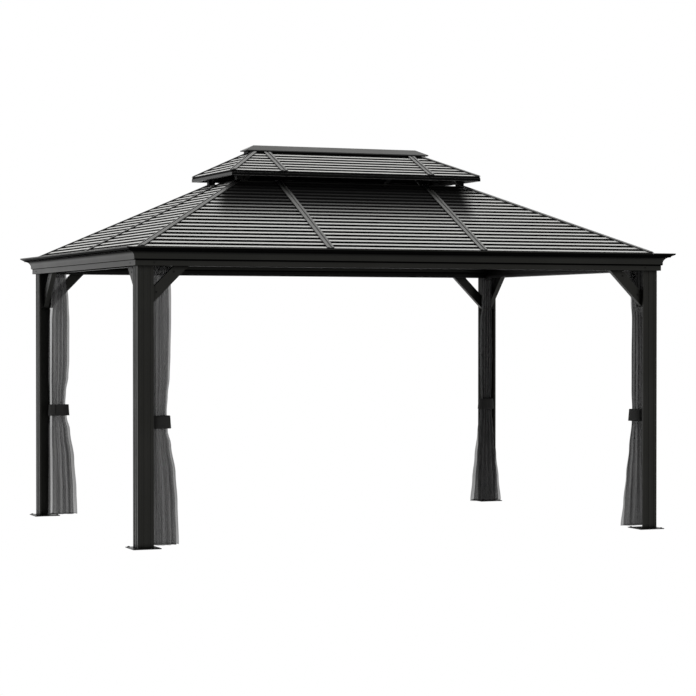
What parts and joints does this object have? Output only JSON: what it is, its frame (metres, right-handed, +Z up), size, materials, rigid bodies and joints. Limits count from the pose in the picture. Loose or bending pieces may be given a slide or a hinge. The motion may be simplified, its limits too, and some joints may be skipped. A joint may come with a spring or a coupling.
{
  "type": "metal gazebo",
  "caption": "Open metal gazebo with a vented two-tier ribbed hip roof on square posts with corner braces and tied-back netting curtains.",
  "frame": {"origin": "on the ground under the middle of the roof", "axes": "+X along the long side, +Z up, front long side faces -Y"},
  "size_m": [4.237, 3.086, 2.8976],
  "materials": {
    "frame": "fine textured powder coat",
    "gutter": "satin powder coat",
    "roof": "semi-gloss coated steel sheet",
    "rafter": "satin powder coat",
    "cover": "satin powder coat",
    "track": "dark coated aluminium",
    "netting": "fine see-through netting",
    "strap": "woven strap"
  },
  "bodies": {
    "root": {"braces_back": "frame", "braces_front": "frame", "braces_left": "frame", "braces_right": "frame", "curtain_back_left": "netting", "curtain_back_right": "netting", "curtain_front_left": "netting", "curtain_front_right": "netting", "curtain_ties": "strap", "curtain_tracks_long": "track", "curtain_tracks_short": "track", "eave_trims_long": "cover", "eave_trims_short": "cover", "foot_plates": "frame", "gutter_back": "gutter", "gutter_front": "gutter", "gutter_left": "gutter", "gutter_right": "gutter", "hip_bars": "rafter", "hip_covers": "cover", "post_back_left": "frame", "post_back_right": "frame", "post_front_left": "frame", "post_front_right": "frame", "rafter_bars": "rafter", "rafter_covers": "cover", "ridge_cap": "cover", "ridge_curb": "rafter", "roof_back": "roof", "roof_front": "roof", "roof_left": "roof", "roof_right": "roof", "upper_hip_bars": "rafter", "upper_hip_covers": "cover", "upper_rafter_bars": "rafter", "upper_rafter_covers": "cover", "upper_roof_back": "roof", "upper_roof_front": "roof", "upper_roof_left": "roof", "upper_roof_right": "roof", "vent_brackets": "rafter", "vent_posts": "rafter", "vent_rails_long": "rafter", "vent_rails_short": "rafter"}
  },
  "joints": []
}
